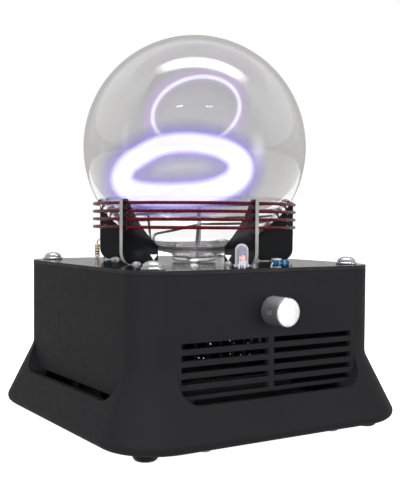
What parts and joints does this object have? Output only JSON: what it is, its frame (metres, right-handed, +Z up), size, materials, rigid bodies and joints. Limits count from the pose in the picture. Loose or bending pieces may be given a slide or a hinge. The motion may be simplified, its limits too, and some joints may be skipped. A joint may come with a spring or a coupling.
{
  "type": "plasma toroid lamp",
  "caption": "Sealed glass globe resting in a ring of upright black circuit-board fins threaded with a red wire coil, on a square flared black case with vents and a metal control knob.",
  "frame": {"origin": "middle of the footprint, level with the soles of the rubber feet", "axes": "+Z up along the globe's axis, -Y out of the front face that carries the knob and the vents, +X to the right seen from the front"},
  "size_m": [0.1324, 0.1324, 0.163],
  "materials": {
    "case_plastic": "matte charcoal moulded plastic",
    "circuit_board": "black solder mask over glass epoxy, with bare grey edges",
    "globe_glass": "clear blown glass",
    "coil_wire": "dark red insulated wire",
    "steel_hardware": "bright plated steel",
    "knob_aluminium": "satin aluminium with a bright face",
    "rubber": "matte black rubber",
    "black_plastic": "satin black plastic",
    "led_resin": "clear cast resin, lit red inside",
    "blue_enamel": "blue enamel with narrow bands",
    "beige_enamel": "beige enamel with narrow bands",
    "white_plastic": "white nylon",
    "heat_sink_aluminium": "bare extruded aluminium",
    "standoff_brass": "bright brass",
    "thermal_pad": "soft grey silicone",
    "copper_winding": "enamelled copper winding",
    "film_capacitor": "ochre epoxy"
  },
  "bodies": {
    "base": {"case_shell": "case_plastic", "base_cover": "case_plastic", "top_board": "circuit_board", "cradle_fin_1": "circuit_board", "cradle_fin_2": "circuit_board", "cradle_fin_3": "circuit_board", "cradle_fin_4": "circuit_board", "cradle_fin_5": "circuit_board", "coil_wire": "coil_wire", "coil_lead_1": "coil_wire", "coil_lead_2": "coil_wire", "corner_screw_1": "steel_hardware", "corner_screw_2": "steel_hardware", "corner_screw_3": "steel_hardware", "corner_screw_4": "steel_hardware", "corner_washer_1": "steel_hardware", "corner_washer_2": "steel_hardware", "corner_washer_3": "steel_hardware", "corner_washer_4": "steel_hardware", "cover_screw_1": "steel_hardware", "cover_screw_2": "steel_hardware", "cover_screw_3": "steel_hardware", "cover_screw_4": "steel_hardware", "fan_screw_1": "steel_hardware", "fan_screw_2": "steel_hardware", "fan_screw_3": "steel_hardware", "fan_screw_4": "steel_hardware", "pot_washer": "steel_hardware", "pot_nut": "steel_hardware", "inlet_nut": "steel_hardware", "transistor_screw": "steel_hardware", "rubber_foot_1": "rubber", "rubber_foot_2": "rubber", "rubber_foot_3": "rubber", "rubber_foot_4": "rubber", "fan_frame": "black_plastic", "potentiometer": "black_plastic", "power_inlet": "black_plastic", "power_transistor": "black_plastic", "bulk_capacitor": "black_plastic", "indicator_led": "led_resin", "film_resistor": "blue_enamel", "standing_resistor": "beige_enamel", "white_header": "white_plastic", "heat_sink": "heat_sink_aluminium", "board_standoff_1": "standoff_brass", "board_standoff_2": "standoff_brass", "board_standoff_3": "standoff_brass", "board_standoff_4": "standoff_brass", "thermal_pad": "thermal_pad", "power_choke": "copper_winding", "tuning_capacitor_1": "film_capacitor", "tuning_capacitor_2": "film_capacitor"},
    "globe": {"glass_globe": "globe_glass"},
    "knob": {"control_knob": "knob_aluminium", "knob_grub_screw": "steel_hardware", "pot_shaft": "steel_hardware"},
    "rotor": {"fan_rotor": "black_plastic"}
  },
  "joints": [
    {"name": "knob_turn", "type": "hinge", "parent": "base", "child": "knob", "pos_m": [0, -0.0612, 0.0508], "axis": [0, 1, 0], "range_deg": [0, 300]},
    {"name": "fan_spin", "type": "hinge", "parent": "base", "child": "rotor", "pos_m": [0, 0, 0.0136], "axis": [0, 0, 1], "continuous": true},
    {"name": "globe_lift", "type": "slide", "parent": "base", "child": "globe", "axis": [0, 0, 1], "range_m": [0, 0.06]}
  ]
}
